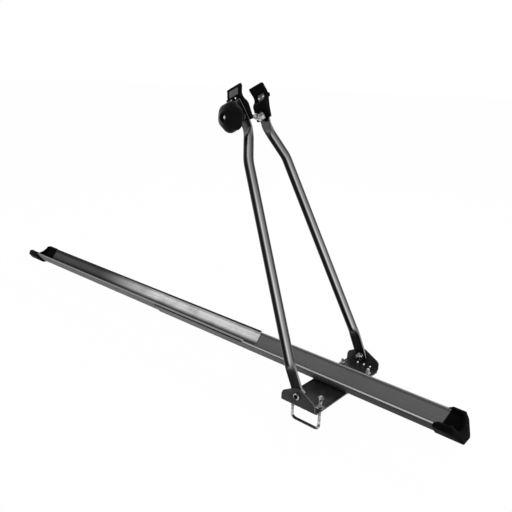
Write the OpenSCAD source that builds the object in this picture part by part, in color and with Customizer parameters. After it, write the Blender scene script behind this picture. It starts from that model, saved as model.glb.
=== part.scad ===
// Roof mounted bike carrier: a telescoping wheel tray on a folded steel bracket,
// two bent tubular arms and a screw clamp that closes on a bicycle frame tube.
// Millimetres. X runs along the tray, the knob is on the -Y side, Z is up.
// The origin lies on the underside of the bracket, where it meets the roof bar.

/* [Base bracket] */
// Length of the bracket plate along the tray
bracket_len = 78; // [60:1:120]
// Width of the bracket over its two upturned flanges
bracket_w = 233; // [180:1:300]
// Sheet thickness of the bracket
bracket_t = 2.5; // [2:0.5:4]
// Height of the arm pivots above the underside
pivot_z = 22; // [18:1:40]
// Position of the arm pivots along the tray
pivot_x = -4.5; // [-20:0.5:20]
// Radius of the flange around the pivot
boss_r = 16; // [12:0.5:24]
// Height of the flange at its left end
flange_low_h = 15; // [8:1:22]
// Spacing of the relief slots along the fold
slot_pitch = 15; // [10:1:24]

/* [Saddle] */
// Sheet thickness of the saddle under the tray
saddle_t = 1.5; // [1:0.5:3]
// Height of the saddle sides above its floor
saddle_h = 13; // [6:1:20]

/* [Tray] */
// Width of the outer rail over its lips
rail_w = 64.4; // [50:0.2:90]
// Width of the flat rail floor
rail_floor_w = 29; // [20:1:50]
// Depth of the outer rail
rail_depth = 27; // [18:1:40]
// Height of the upright lip of the rails
rail_lip_h = 6.5; // [3:0.5:12]
// Wall thickness of the rails
rail_t = 1.6; // [1:0.1:3]
// Radius of the rolled bead on each rim
bead_r = 1.3; // [1:0.1:2.5]
// Left end of the outer rail
outer_x0 = -515; // [-700:5:-300]
// Right end of the outer rail, hidden in its cap
outer_x1 = 238; // [150:1:400]
// Left end of the inner rail, hidden in its cap
inner_x0 = -1110; // [-1300:5:-800]
// Right end of the inner rail
inner_x1 = -218; // [-400:1:-100]
// Width of the inner rail over its out-turned rims
inner_w = 68.6; // [66:0.2:74]
// Running clearance between the two rails
rail_gap = 0.4; // [0.3:0.05:1]
// Spacing of the two threaded inserts for the second roof bar
insert_pitch = 60; // [40:1:90]
// Middle of the two threaded inserts along the tray
insert_x = -603; // [-700:1:-550]

/* [End caps] */
// Mouth of the right cap
cap_right_x = 220; // [150:1:400]
// Length of the right cap along its rim
cap_right_top = 31; // [25:1:60]
// Mouth of the left cap
cap_left_x = -1082; // [-1300:1:-900]
// Length of the left cap along its rim
cap_left_top = 44; // [25:1:60]
// How much longer the caps are at the bottom
cap_rake = 18; // [0:1:30]
// Wall thickness of the caps
cap_t = 2.2; // [1.5:0.1:4]

/* [Arms] */
// Lean of the arms away from upright
lean = 25.25; // [0:0.25:60]
// Diameter of the arm tube
tube_d = 20; // [16:0.5:30]
// Distance from the pivot to the middle of the knee
knee_s = 446.7; // [300:0.1:600]
// Half distance between the arms at the knee
knee_y = 58.1; // [45:0.1:90]
// Length of tube between the knee and the clamp rod
head_s = 87.3; // [75:0.1:140]
// Half distance between the arms where the tip starts
tip_y = 32; // [25:0.5:60]
// Width of the flattened foot
foot_w = 25; // [20:0.5:32]
// Thickness of the flattened foot
foot_t = 6; // [4:0.5:10]
// Width of the flattened tip
tip_w = 25; // [20:0.5:32]
// Thickness of the flattened tip
tip_t = 4; // [3:0.5:6]

/* [Clamp] */
// How much further in the far jaw stands than the near one
far_in = 5.5; // [0:0.5:10]
// How much higher the far jaw stands than the near one
far_up = 3; // [0:0.5:4]
// Diameter of the clamp rod
rod_d = 8; // [6:1:12]
// Width of the jaws
jaw_w = 34; // [28:1:50]
// Diameter of the knob over its lobes
knob_d = 60; // [50:1:80]
// Overall height of the knob with its neck
knob_h = 53; // [45:1:70]
// Diameter of the knob neck
knob_neck_d = 19; // [14:1:28]

/* [Roof bar bolts] */
// Spacing of the two legs of a U-bolt
u_pitch = 62; // [40:1:90]
// Rod diameter of the U-bolts
u_d = 6; // [5:1:10]
// Height of a U-bolt over all
u_h = 74; // [50:1:110]
// Position of the near U-bolt across the carrier
u_near_y = -91; // [-100:1:-60]
// Position of the far U-bolt across the carrier
u_far_y = 80; // [60:1:100]
// Height of the leg ends of the near U-bolt
u_near_top = 27; // [10:1:45]
// Height of the leg ends of the far U-bolt
u_far_top = 17; // [10:1:45]

/* [Hidden] */

flange_y = bracket_w / 2;
flange_in = flange_y - bracket_t;
foot_gap = 0.35;
foot_y = flange_in - foot_gap - foot_t / 2;
rail_z = bracket_t + saddle_t;
rim_z = rail_z + rail_depth;
inner_lip_z = rim_z + rail_gap;
inner_bead_z = inner_lip_z + bead_r - 0.1;
inner_rim_z = inner_bead_z + bead_r;
rod_s = knee_s + head_s;
tip_s = rod_s - 29;
rail_bolt_x = 33;
u_hole_d = 7;
arm_sides = 32;
tip_out = tip_t / 2;
jaw_lip = (jaw_w - tip_w - 0.6) / 2;
rivet_x = 6;
rivet_s = rod_s + 36.4;
rivet_y = 43.34;
tip_slope = 11.92;
knob_y = 40.1;

// Flattened tip of an arm: distance from the rod and half distance between the arms.
tip_path = [[-18, 32.4], [-7, 33.0], [13, 36.6], [23, 39.4], [31, 42.2], [40, 44.1],
    [46, 43.0], [54, 39.4]];

// Gripping face of a jaw, from its bottom to its upper lip, as [half gap, distance].
grip = [[27, -9], [27.2, 13], [27.6, 22], [30.5, 27], [35.5, 31.5], [37.8, 36],
    [38.2, 40.5], [36.6, 46], [34.2, 51], [31.6, 56], [31.4, 59.5], [33, 61.5]];

// Section of the strap across the back of a jaw.
strap = [[43, 32.4], [48.4, 33], [49.9, 40], [45.4, 40.6]];

function unit(v) = v / norm(v);
function left_of(v) = [-v[1], v[0]];

// Open path moved sideways by d with mitred corners.
function shifted(p, d) = [for (i = [0:len(p) - 1])
    let (a = left_of(unit(i == 0 ? p[1] - p[0] : p[i] - p[i - 1])),
        b = left_of(unit(i == len(p) - 1 ? p[i] - p[i - 1] : p[i + 1] - p[i])))
    p[i] + (a + b) * d / (1 + a * b)];

// Corner b between a and c replaced by an arc of radius r in n steps.
function arc_corner(a, b, c, r, n) =
    let (u = unit(a - b), v = unit(c - b), half = acos(u * v) / 2,
        m = b + unit(u + v) * r / sin(half), s = b + u * r / tan(half),
        e = b + v * r / tan(half), sa = s - m, ea = e - m,
        a0 = atan2(sa[1], sa[0]), a1 = atan2(ea[1], ea[0]),
        turn = a1 - a0 > 180 ? a1 - a0 - 360 : (a1 - a0 < -180 ? a1 - a0 + 360 : a1 - a0))
    [for (i = [0:n]) m + r * [cos(a0 + turn * i / n), sin(a0 + turn * i / n)]];

function softened(p, radii, n = 4) = [for (i = [0:len(p) - 1])
    each (radii[i] == 0 ? [p[i]]
        : arc_corner(p[(i + len(p) - 1) % len(p)], p[i], p[(i + 1) % len(p)], radii[i], n))];

// Outside of the outer rail from the left rim to the right rim, in the YZ plane.
function rail_path(top) = softened([[-rail_w / 2, top], [-rail_w / 2, rim_z - rail_lip_h],
    [-rail_floor_w / 2, rail_z], [rail_floor_w / 2, rail_z],
    [rail_w / 2, rim_z - rail_lip_h], [rail_w / 2, top]], [0, 6, 7, 7, 6, 0]);

function reversed(p) = [for (i = [len(p) - 1:-1:0]) p[i]];
function strip(p, d0, d1) = concat(shifted(p, d0), reversed(shifted(p, d1)));

module along_x(x0, x1)
{
    translate([x0, 0, 0])
        rotate([90, 0, 90])
            linear_extrude(x1 - x0)
                children();
}

// Places an object in the leaning plane of the arms: x across, z away from the pivot.
module arm_frame()
{
    translate([pivot_x, 0, pivot_z])
        rotate([0, -lean, 0])
            children();
}

// Round bar along Y between two positions.
module bar_y(d, y0, y1, x = 0, z = 0, sides = 48)
{
    translate([x, y1, z])
        rotate([90, 0, 0])
            cylinder(d = d, h = y1 - y0, $fn = sides);
}

module hex_y(across, y0, y1, bore)
{
    difference() {
        bar_y(across / cos(30), y0, y1, sides = 6);
        bar_y(bore, y0 - 1, y1 + 1);
    }
}

module hex_z(across, h, bore)
{
    difference() {
        cylinder(d = across / cos(30), h = h, $fn = 6);
        translate([0, 0, -1])
            cylinder(d = bore, h = h + 2, $fn = 48);
    }
}

function flange_outline() =
    let (pivot = [pivot_x, pivot_z], x0 = -bracket_len / 2 - 1.5, x1 = bracket_len / 2 - 3.5,
        left = [x0 + 3, flange_low_h + 6.5], right = [x1 - 4, flange_low_h + 5.5],
        la = 180 - atan2(left[1] - pivot_z, pivot_x - left[0]) - acos(boss_r / norm(left - pivot)),
        ra = atan2(right[1] - pivot_z, right[0] - pivot_x) + acos(boss_r / norm(right - pivot)))
    [[x0, -1], [x0, flange_low_h], left,
        for (i = [0:8]) pivot + boss_r * [cos(la + (ra - la) * i / 8),
            sin(la + (ra - la) * i / 8)],
        right, [x1, flange_low_h + 0.5], [x1, -1]];

module bracket_sheet()
{
    half = bracket_len / 2;
    edge = flange_y - 6;
    intersection() {
        along_x(-half - 1.5, half)
            polygon(strip(softened([[-flange_y, 50], [-flange_y, 0], [flange_y, 0],
                [flange_y, 50]], [0, 4, 4, 0]), 0, bracket_t));
        union() {
            translate([0, flange_y + 1, 0])
                rotate([90, 0, 0])
                    linear_extrude(bracket_w + 2)
                        polygon(flange_outline());
            translate([0, 0, -1])
                linear_extrude(bracket_t + 2)
                    polygon([[-half, -edge], [-half, edge], [half - 4, edge + 3],
                        [half, edge - 6], [half, -edge - 2], [half - 3, -edge - 5],
                        [0, -edge - 5]]);
        }
    }
}

module base_bracket()
{
    color("#2a2a2c")
        difference() {
            bracket_sheet();
            for (y = [-1, 1])
                bar_y(8.15, y * flange_y - 6, y * flange_y + 6, pivot_x, pivot_z);
            for (i = [-1:1], y = [-1, 1])
                translate([pivot_x + 6.2 + i * slot_pitch, y * (flange_in + 0.4), -1])
                    cylinder(d = 4.4, h = 6, $fn = 32);
            for (x = [-1, 1], y = [u_near_y, u_far_y])
                translate([x * u_pitch / 2, y, -1])
                    cylinder(d = u_hole_d, h = 6, $fn = 48);
            for (x = [-1, 1])
                translate([x * rail_bolt_x, 0, -1])
                    cylinder(d = 6.1, h = 6, $fn = 48);
        }
}

module rail_saddle()
{
    side = unit([(rail_w - rail_floor_w) / 2, rail_depth - rail_lip_h]) * saddle_h;
    foot = [rail_floor_w / 2, rail_z];
    path = softened([[-foot[0] - side[0], foot[1] + side[1]], [-foot[0], foot[1]], foot,
        foot + side], [0, 7, 7, 0]);
    color("#242426")
        difference() {
            along_x(-bracket_len / 2 + 2, bracket_len / 2 + 3)
                polygon(strip(path, 0, -saddle_t));
            for (x = [-1, 1])
                translate([x * rail_bolt_x, 0, 0])
                    cylinder(d = 6.1, h = 8, $fn = 48);
        }
}

// Section of a rail with its rim beads, grown by extra on all sides.
module rail_section(path, bead_y, bead_z, extra = 0)
{
    polygon(strip(path, -extra, rail_t + extra));
    for (y = [-1, 1])
        translate([y * bead_y, bead_z])
            circle(r = bead_r + extra, $fn = 24);
}

module outer_section(extra = 0)
{
    rail_section(rail_path(rim_z - 0.2), rail_w / 2 + 0.1, rim_z - bead_r, extra);
}

// Path of the inner rail: the outer one moved inwards, with its rims turned out.
function inner_path() =
    let (deep = shifted(rail_path(inner_lip_z), rail_t + rail_gap),
        reach = inner_w / 2 - bead_r)
    concat([[-reach, inner_lip_z]], deep, [[reach, inner_lip_z]]);

module inner_section(extra = 0)
{
    rail_section(inner_path(), inner_w / 2 - bead_r, inner_bead_z, extra);
}

module outer_rail()
{
    color("#c4c6c8")
        difference() {
            along_x(outer_x0, outer_x1)
                outer_section();
            for (x = [-1, 1])
                translate([x * rail_bolt_x, 0, 0])
                    cylinder(d = 6.1, h = 12, $fn = 48);
        }
}

module inner_rail()
{
    color("#c4c6c8")
        difference() {
            along_x(inner_x0, inner_x1)
                inner_section();
            for (x = [-1, 1])
                translate([insert_x + x * insert_pitch / 2, 0, 0])
                    cylinder(d = 9, h = 12, $fn = 48);
        }
}

// Cap with a raked end wall and a scooped top edge. It lies along +X from its mouth at
// x = 0. The children are the section of the rail, cut over the length of overlap.
module end_cap(outline, cavity, top, overlap, top_len)
{
    len_max = top_len + cap_rake + 6;
    slope = atan2(cap_rake, top - rail_z);
    difference() {
        along_x(0, len_max)
            polygon(outline);
        translate([top_len, 0, top])
            rotate([0, -slope, 0])
                translate([0, -60, -80])
                    cube([60, 120, 120]);
        difference() {
            along_x(-1, len_max)
                polygon(concat(cavity, [[30, top + 20], [-30, top + 20]]));
            translate([top_len - 3.2, 0, top])
                rotate([0, -slope, 0])
                    translate([0, -60, -80])
                        cube([60, 120, 140]);
        }
        along_x(-1, overlap)
            children();
        translate([top_len - 20, 0, top + 10])
            rotate([0, 90, 0])
                cylinder(r = 27, h = 60, $fn = 96);
    }
}

module end_cap_right()
{
    top = rim_z + 4.5;
    color("#161617")
        translate([cap_right_x, 0, 0])
            end_cap(shifted(rail_path(top), -cap_t), shifted(rail_path(top), rail_t + 1.6),
                top, outer_x1 - cap_right_x + 0.1, cap_right_top)
                outer_section(0.1);
}

module end_cap_left()
{
    top = inner_rim_z + 0.5;
    wide = inner_w / 2 + 0.9;
    sole = rail_floor_w / 2 + 3;
    color("#161617")
        translate([cap_left_x, 0, 0])
            mirror([1, 0, 0])
                end_cap(softened([[-wide, top], [-wide, rim_z - rail_lip_h - 4],
                    [-sole, rail_z - 2.5], [sole, rail_z - 2.5],
                    [wide, rim_z - rail_lip_h - 4], [wide, top]], [0, 8, 8, 8, 8, 0]),
                    shifted(rail_path(top), 2 * rail_t + rail_gap + 1.6), top,
                    cap_left_x - inner_x0 + 0.1, cap_left_top)
                    inner_section(0.1);
}

// Low round-headed bolt standing up through the outer rail, saddle and bracket.
module rail_bolt(x)
{
    head_z = rail_z + rail_t;
    color("#b9babd")
        translate([x, 0, 0])
            rotate_extrude($fn = 64)
                polygon([[0, -4], [2.6, -4], [3, -3.4], [3, head_z], [6.5, head_z],
                    [6.2, head_z + 1], [4.6, head_z + 1.9], [2, head_z + 2.3],
                    [0, head_z + 2.4]]);
}

module rail_nut(x)
{
    color("#b9babd")
        translate([x, 0, -3.2])
            hex_z(10, 3.2, 6.1);
}

module rail_bolt_left() { rail_bolt(-rail_bolt_x); }

module rail_bolt_right() { rail_bolt(rail_bolt_x); }

module rail_nut_left() { rail_nut(-rail_bolt_x); }

module rail_nut_right() { rail_nut(rail_bolt_x); }

// Short threaded insert set in the floor of the inner rail.
module insert(x)
{
    floor_z = rail_z + rail_t + rail_gap;
    color("#a9aaad")
        translate([x, 0, floor_z])
            rotate_extrude($fn = 64)
                polygon([[2.5, -1], [6, -1], [6, 0], [4.45, 0], [4.45, rail_t],
                    [5.2, rail_t + 0.5], [5.2, rail_t + 2], [4.6, rail_t + 2.6],
                    [2.5, rail_t + 2.6]]);
}

module insert_left() { insert(insert_x - insert_pitch / 2); }

module insert_right() { insert(insert_x + insert_pitch / 2); }

// Cross-section of an arm: a circle of radius h, or a flat bar when w is larger than h.
function arm_ring(w, h) = [for (i = [0:arm_sides - 1])
    let (a = (i + 0.5) * 360 / arm_sides)
    [sign(cos(a)) * (w - h) + h * cos(a), h * sin(a)]];

// Stations of an arm: [distance from the pivot, half distance, half width, half thickness].
function arm_stations(inwards, upwards) =
    let (r = tube_d / 2, fw = foot_w / 2, ft = foot_t / 2, tw = tip_w / 2, tt = tip_t / 2,
        neck_s = tip_s + upwards - 17, low = (foot_y - knee_y) / (knee_s - 54),
        high = (knee_y - tip_y + inwards) / (tip_s + upwards - knee_s),
        neck_y = tip_y - inwards + 17 * high)
    concat(
        [for (i = [1:5]) let (a = 90 - i * 15) [-fw * sin(a), foot_y, fw * cos(a), ft]],
        [[0, foot_y, fw, ft], [43, foot_y, fw, ft]],
        [for (i = [1:5]) let (k = i / 5, e = k * k * (3 - 2 * k), x = 43 + 24 * k)
            [x, foot_y - (k < 0.5 ? 0 : (x - 54) * low),
                fw + (r - fw) * e, ft + (r - ft) * e]],
        [[knee_s - 16, knee_y + 16 * low, r, r]],
        [for (i = [0:4]) let (k = i / 4, x = -9 + 18 * k)
            [knee_s + x, knee_y - x * (low + (high - low) * k)
                - (1 - pow(2 * k - 1, 2)) * 0.7, r, r]],
        [[neck_s, neck_y, r, r]],
        [for (i = [1:5]) let (k = i / 5, e = k * k * (3 - 2 * k))
            [neck_s + 25 * k, neck_y - 17 * high * (k + k * (1 - k) * 0.55),
                r + (tw - r) * e, r + (tt - r) * e]],
        [for (p = tip_path) [rod_s + upwards + p[0], p[1] - inwards, tw, tt]]);

module arm_body(side)
{
    st = arm_stations(side > 0 ? far_in : 0, side > 0 ? far_up : 0);
    n = len(st);
    points = [for (i = [0:n - 1])
        let (a = st[max(i - 1, 0)], b = st[min(i + 1, n - 1)],
            d = unit([b[0] - a[0], b[1] - a[1]]))
        for (q = arm_ring(st[i][2], st[i][3]))
            [q[0], side * (st[i][1] + q[1] * d[0]), st[i][0] - q[1] * d[1]]];
    turn = [for (i = [0:arm_sides - 1]) i];
    faces = concat([turn], [[for (i = reversed(turn)) (n - 1) * arm_sides + i]],
        [for (k = [0:n - 2], i = turn) let (j = (i + 1) % arm_sides)
            [k * arm_sides + i, (k + 1) * arm_sides + i, (k + 1) * arm_sides + j,
                k * arm_sides + j]]);
    polyhedron(points, side > 0 ? [for (f = faces) reversed(f)] : faces);
}

// Clearance through the near arm and jaw, long enough for the arms to close on the rod.
module rod_slot(y0, y1, width, travel)
{
    for (z = [-travel, travel])
        bar_y(width, y0, y1, 0, rod_s + z);
    translate([-width / 2, y0, rod_s - travel])
        cube([width, y1 - y0, 2 * travel]);
}

// Moves what belongs to the far head to its place. The near head stays.
module head(side)
{
    translate([0, side > 0 ? -far_in : 0, side > 0 ? far_up : 0])
        children();
}

// Places an object on the flattened tip, z pointing out through the strap.
module rivet_frame(side, x)
{
    head(side)
        translate([x, side * rivet_y, rivet_s])
            rotate([-side * (90 + tip_slope), 0, 0])
                children();
}

module rivet_holes(side)
{
    for (x = [-rivet_x, rivet_x])
        rivet_frame(side, x)
            translate([0, 0, -6])
                cylinder(d = 4.1, h = 16, $fn = 48);
}

module near_arm()
{
    color("#9da0a3")
        arm_frame()
            difference() {
                arm_body(-1);
                bar_y(8.2, -flange_y - 8, -flange_y + 20);
                rod_slot(-50, -20, rod_d + 1, 2);
                rivet_holes(-1);
            }
}

module far_arm()
{
    color("#9da0a3")
        arm_frame()
            difference() {
                arm_body(1);
                bar_y(8.2, flange_y - 20, flange_y + 8);
                bar_y(rod_d + 0.1, 10, 50, 0, rod_s);
                rivet_holes(1);
            }
}

// Button-headed pivot bolt with a hexagon socket.
module pivot_bolt(side)
{
    color("#c3c5c8")
        arm_frame()
            translate([0, side * (flange_y + 0.05), 0])
                rotate([side > 0 ? -90 : 90, 0, 0])
                    difference() {
                        rotate_extrude($fn = 64)
                            polygon([[0, -19.2], [3.4, -19.2], [4, -18.4], [4, 0], [7, 0],
                                [7, 1.2], [6.1, 2.8], [4.6, 3.9], [3, 4.4], [0, 4.4]]);
                        translate([0, 0, 1.8])
                            cylinder(d = 5 / cos(30), h = 4, $fn = 6);
                    }
}

module near_pivot_bolt() { pivot_bolt(-1); }

module far_pivot_bolt() { pivot_bolt(1); }

module pivot_washer(side)
{
    y1 = foot_y - foot_t / 2 - foot_gap;
    color("#b9babd")
        arm_frame()
            difference() {
                bar_y(16, side > 0 ? y1 - 1.6 : -y1, side > 0 ? y1 : 1.6 - y1);
                bar_y(8.1, side > 0 ? y1 - 3 : -y1 - 2, side > 0 ? y1 + 2 : 3 - y1);
            }
}

module near_pivot_washer() { pivot_washer(-1); }

module far_pivot_washer() { pivot_washer(1); }

module pivot_nut(side)
{
    y1 = foot_y - foot_t / 2 - foot_gap - 1.6;
    color("#b9babd")
        arm_frame()
            hex_y(13, side > 0 ? y1 - 6.8 : -y1, side > 0 ? y1 : 6.8 - y1, 8.1);
}

module near_pivot_nut() { pivot_nut(-1); }

module far_pivot_nut() { pivot_nut(1); }

module jaw_slab(points, side, t0, t1)
{
    along_x(t0, t1)
        polygon([for (p = points) [side * p[0], p[1]]]);
}

// Plastic jaw wrapped on the flattened tip, with a window and an outer strap.
module jaw(side)
{
    centre = [for (p = tip_path) [p[1], p[0]]];
    steel_out = shifted(centre, -tip_out);
    back = [for (i = [len(centre) - 1:-1:1]) steel_out[i]];
    bottom = [[steel_out[1][0] - 0.3, grip[0][1]], grip[0]];
    crown = [[37.4, 61.2], [40.6, 59.2]];
    half = jaw_w / 2;
    cavity = concat(shifted(centre, tip_out + 0.02), reversed(shifted(centre, -tip_out - 8)));
    arm_frame()
        difference() {
            head(side)
                translate([0, 0, rod_s])
                    difference() {
                        union() {
                            jaw_slab(concat(grip, crown, back, bottom), side, -half, half);
                            jaw_slab(strap, side, -half - 0.8, half + 0.8);
                        }
                        difference() {
                            jaw_slab(cavity, side, -half + jaw_lip, half - jaw_lip);
                            jaw_slab([[46.2, 26], [60, 26], [60, 46], [46.2, 46]], side,
                                -half, half);
                        }
                        translate([-11.5, side > 0 ? 25 : -42.8, 28.5])
                            cube([23, 17.8, 14.5]);
                    }
            rod_slot(side > 0 ? 10 : -50, side > 0 ? 50 : -20,
                rod_d + (side > 0 ? 0.1 : 1), side > 0 ? 0.01 : 2);
            rivet_holes(side);
        }
}

module near_jaw()
{
    color("#19191b")
        jaw(-1);
}

module far_jaw()
{
    color("#19191b")
        jaw(1);
}

module rivet(side, x)
{
    color("#b9babd")
        arm_frame()
            rivet_frame(side, x)
                rotate_extrude($fn = 48)
                    polygon([[0, -3.4], [1.8, -3.2], [3, -2.5], [3, -2.02], [2, -2.02],
                        [2, 5.2], [1.6, 5.6], [0, 5.6]]);
}

module near_rivet_left() { rivet(-1, -rivet_x); }

module near_rivet_right() { rivet(-1, rivet_x); }

module far_rivet_left() { rivet(1, -rivet_x); }

module far_rivet_right() { rivet(1, rivet_x); }

module clamp_rod()
{
    color("#c3c5c8")
        arm_frame()
            bar_y(rod_d, -knob_y - knob_h + 5, 45.5 - far_in, 0, rod_s);
}

// Cone-shaped nut that seats the rod against the far jaw.
module cone_nut()
{
    r = rod_d / 2 + 0.05;
    color("#c3c5c8")
        arm_frame()
            translate([0, -far_in, rod_s])
                rotate([-90, 0, 0])
                    rotate_extrude($fn = 64)
                        polygon([[r, 7], [5.6, 7], [6, 7.4], [6, 12], [9.4, 21], [10, 23],
                            [10, 27], [r, 27]]);
}

module rod_end_nut()
{
    color("#c3c5c8")
        arm_frame()
            translate([0, -far_in, rod_s])
                hex_y(13, 38, 44.5, rod_d + 0.1);
}

// Lobed knob standing outwards from the near arm.
module knob()
{
    r = knob_d / 2;
    color("#151516")
        arm_frame()
            translate([0, -knob_y, rod_s])
                rotate([90, 0, 0])
                    difference() {
                        rotate_extrude($fn = 96)
                            polygon([[0, 0], [knob_neck_d / 2, 0], [knob_neck_d / 2, 15],
                                [13, 19.5], [20, 23], [r - 1.6, 25.4], [r, 27.5], [r, 32.5],
                                [r - 1.4, 36], [r - 5.5, 40.4], [r - 11, 44.6],
                                [r - 16, 48], [9.2, knob_h - 1.2], [7.6, knob_h - 0.4],
                                [0, knob_h - 0.4]]);
                        for (a = [30:60:330])
                            rotate([0, 0, a])
                                translate([r + 19.4, 0, 16])
                                    rotate([0, -8, 0])
                                        cylinder(r = 22, h = 50, $fn = 96);
                        translate([0, 0, knob_h - 9])
                            cylinder(r = 6.2, h = 12, $fn = 48);
                        translate([0, 0, -1])
                            cylinder(d = rod_d + 0.2, h = 60, $fn = 48);
                    }
}

module knob_insert()
{
    color("#c3c5c8")
        arm_frame()
            translate([0, -knob_y, rod_s])
                rotate([90, 0, 0])
                    translate([0, 0, knob_h - 9])
                        difference() {
                            cylinder(r = 6.2, h = 1.6, $fn = 48);
                            translate([0, 0, -1])
                                cylinder(d = rod_d + 0.2, h = 4, $fn = 48);
                        }
}

module knob_washer()
{
    color("#b9babd")
        arm_frame()
            translate([0, 0, rod_s])
                difference() {
                    bar_y(18, -knob_y, 1.8 - knob_y);
                    bar_y(rod_d + 0.2, -42, -36);
                }
}

// Square U-bolt whose two legs straddle a roof bar.
module u_bolt(y, top)
{
    bend = 9;
    half = u_pitch / 2;
    bottom = top - u_h + u_d / 2;
    color("#c3c5c8")
        translate([0, y, 0]) {
            for (x = [-1, 1])
                translate([x * half, 0, bottom + bend])
                    cylinder(d = u_d, h = top - bottom - bend, $fn = 48);
            translate([bend - half, 0, bottom])
                rotate([0, 90, 0])
                    cylinder(d = u_d, h = u_pitch - 2 * bend, $fn = 48);
            for (x = [-1, 1])
                translate([x * (half - bend), 0, bottom + bend])
                    rotate([90, 0, 0])
                        rotate([0, 0, x > 0 ? 270 : 180])
                            rotate_extrude(angle = 90, $fn = 96)
                                translate([bend, 0])
                                    circle(d = u_d, $fn = 48);
        }
}

module near_u_bolt() { u_bolt(u_near_y, u_near_top); }

module far_u_bolt() { u_bolt(u_far_y, u_far_top); }

module u_nut(x, y, z)
{
    color("#c3c5c8")
        translate([x * u_pitch / 2, y, z])
            hex_z(10, 5, u_d + 0.1);
}

module near_u_nut_left() { u_nut(-1, u_near_y, u_near_top - 7.5); }

module near_u_nut_right() { u_nut(1, u_near_y, u_near_top - 7.5); }

module far_u_nut_left() { u_nut(-1, u_far_y, bracket_t + 1.6); }

module far_u_nut_right() { u_nut(1, u_far_y, bracket_t + 1.6); }

module u_washer(x, y)
{
    color("#b9babd")
        translate([x * u_pitch / 2, y, bracket_t])
            difference() {
                cylinder(d = 18, h = 1.6, $fn = 64);
                translate([0, 0, -1])
                    cylinder(d = u_d + 0.7, h = 4, $fn = 48);
            }
}

module near_u_washer_left() { u_washer(-1, u_near_y); }

module near_u_washer_right() { u_washer(1, u_near_y); }

module far_u_washer_left() { u_washer(-1, u_far_y); }

module far_u_washer_right() { u_washer(1, u_far_y); }

base_bracket();
rail_saddle();
outer_rail();
inner_rail();
end_cap_right();
end_cap_left();
rail_bolt_left();
rail_bolt_right();
rail_nut_left();
rail_nut_right();
insert_left();
insert_right();
near_arm();
far_arm();
near_pivot_bolt();
far_pivot_bolt();
near_pivot_washer();
far_pivot_washer();
near_pivot_nut();
far_pivot_nut();
near_jaw();
far_jaw();
near_rivet_left();
near_rivet_right();
far_rivet_left();
far_rivet_right();
clamp_rod();
cone_nut();
rod_end_nut();
knob();
knob_insert();
knob_washer();
near_u_bolt();
far_u_bolt();
near_u_nut_left();
near_u_nut_right();
far_u_nut_left();
far_u_nut_right();
near_u_washer_left();
near_u_washer_right();
far_u_washer_left();
far_u_washer_right();
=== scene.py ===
"""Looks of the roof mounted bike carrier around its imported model, in metres.

X runs along the tray, the knob is on the -Y side and Z is up. The origin lies on the underside
of the bracket, where it rests on the roof bar.
"""

import logging
import math
from collections.abc import Callable, Iterable, Sequence
from dataclasses import dataclass
from enum import Enum
from typing import Any

import bmesh
import bpy
from mathutils import Matrix, Vector


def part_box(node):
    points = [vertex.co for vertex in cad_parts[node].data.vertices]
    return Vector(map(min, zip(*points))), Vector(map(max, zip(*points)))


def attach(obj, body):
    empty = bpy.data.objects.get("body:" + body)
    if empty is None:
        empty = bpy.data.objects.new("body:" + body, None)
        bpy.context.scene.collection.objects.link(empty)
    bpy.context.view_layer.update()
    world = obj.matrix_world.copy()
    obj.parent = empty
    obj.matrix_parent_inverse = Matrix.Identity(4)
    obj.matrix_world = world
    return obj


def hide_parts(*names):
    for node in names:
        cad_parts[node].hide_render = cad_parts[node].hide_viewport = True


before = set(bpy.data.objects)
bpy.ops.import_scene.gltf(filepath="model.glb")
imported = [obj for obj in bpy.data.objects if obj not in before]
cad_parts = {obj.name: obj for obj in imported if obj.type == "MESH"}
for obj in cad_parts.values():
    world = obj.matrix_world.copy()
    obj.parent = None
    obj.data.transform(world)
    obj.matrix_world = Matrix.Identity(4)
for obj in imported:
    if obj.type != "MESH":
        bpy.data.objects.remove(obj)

log = logging.getLogger("carrier")

Colour = tuple[float, float, float]


class Side(Enum):
    """The two sides of the carrier. The value is the sign of Y."""

    NEAR = -1
    FAR = 1


class Slot(Enum):
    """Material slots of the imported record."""

    BRACKET = "bracket_black"
    RAIL = "rail_metal"
    ARM = "arm_metal"
    CAP = "cap_plastic"
    JAW = "jaw_plastic"
    KNOB = "knob_plastic"
    ZINC = "zinc"


class Value:
    """A shader socket that takes part in Python expressions."""

    def __init__(self, graph: "Graph", socket: bpy.types.NodeSocket) -> None:
        """Wraps an output socket.

        Args:
            graph: The material graph that holds the socket.
            socket: The output socket.
        """
        self.graph = graph
        self.socket = socket

    def _maths(self, operation: str, first: Any, second: Any) -> "Value":
        """Adds a Math node for two values or numbers."""
        return self.graph.add(
            "ShaderNodeMath", {"operation": operation}, {0: first, 1: second}
        )

    def __add__(self, other: Any) -> "Value":
        """This value plus another."""
        return self._maths("ADD", self, other)

    def __radd__(self, other: Any) -> "Value":
        """A number plus this value."""
        return self._maths("ADD", other, self)

    def __sub__(self, other: Any) -> "Value":
        """This value minus another."""
        return self._maths("SUBTRACT", self, other)

    def __rsub__(self, other: Any) -> "Value":
        """A number minus this value."""
        return self._maths("SUBTRACT", other, self)

    def __mul__(self, other: Any) -> "Value":
        """This value times another."""
        return self._maths("MULTIPLY", self, other)

    def __rmul__(self, other: Any) -> "Value":
        """A number times this value."""
        return self._maths("MULTIPLY", other, self)

    def between(self, low: float, high: float) -> "Value":
        """A smooth step of this value.

        Args:
            low: Where the result is 0.
            high: Where the result is 1.

        Returns:
            The step, from 0 to 1.
        """
        return self.graph.add(
            "ShaderNodeMapRange",
            {"interpolation_type": "SMOOTHSTEP"},
            {"Value": self, "From Min": low, "From Max": high},
        )


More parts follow.
